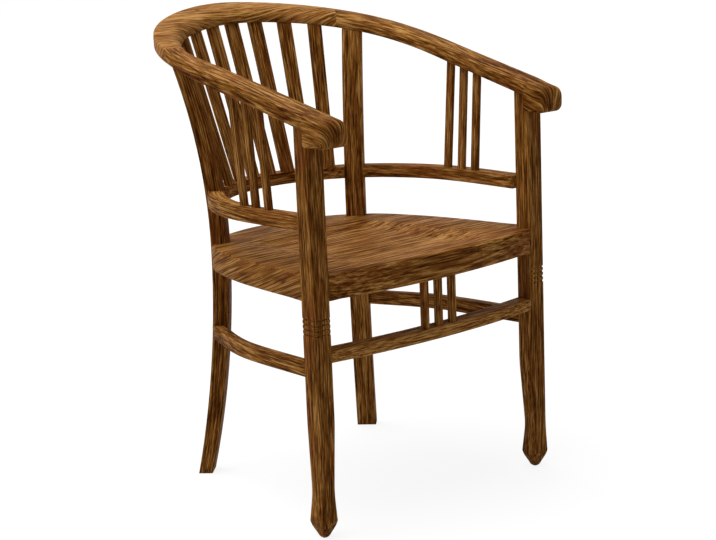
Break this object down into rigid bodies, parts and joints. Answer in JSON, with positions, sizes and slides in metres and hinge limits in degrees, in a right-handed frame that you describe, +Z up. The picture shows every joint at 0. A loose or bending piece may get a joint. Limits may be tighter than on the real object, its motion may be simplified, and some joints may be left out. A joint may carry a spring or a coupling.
{
  "type": "armchair",
  "caption": "Round-backed hardwood armchair whose flat arm ring slopes down to the front, with a slatted back, a solid dished seat, curved rear legs and slim stretchers.",
  "frame": {"origin": "on the floor, at the middle of the footprint of the whole chair", "axes": "+Z up; the chair faces -Y; +X is to the right for someone who looks at its front"},
  "size_m": [0.5736, 0.676, 0.8712],
  "materials": {
    "teak": "oiled, low sheen, streaky grain",
    "screw_steel": "plain zinc"
  },
  "bodies": {
    "root": {"arm_left": "teak", "arm_right": "teak", "back_slat_1": "teak", "back_slat_2": "teak", "back_slat_3": "teak", "back_slat_4": "teak", "back_slat_5": "teak", "back_slat_6": "teak", "back_slat_7": "teak", "crest_rail": "teak", "front_leg_left": "teak", "front_leg_right": "teak", "front_spindle_1": "teak", "front_spindle_2": "teak", "front_spindle_3": "teak", "front_stretcher": "teak", "lower_arm_rail_left": "teak", "lower_arm_rail_right": "teak", "lower_back_rail": "teak", "rear_leg_left": "teak", "rear_leg_right": "teak", "seat": "teak", "seat_screws": "screw_steel", "side_slat_left_1": "teak", "side_slat_left_2": "teak", "side_slat_left_3": "teak", "side_slat_right_1": "teak", "side_slat_right_2": "teak", "side_slat_right_3": "teak", "side_stretcher_left": "teak", "side_stretcher_right": "teak", "top_rail_dowels": "teak"}
  },
  "joints": []
}
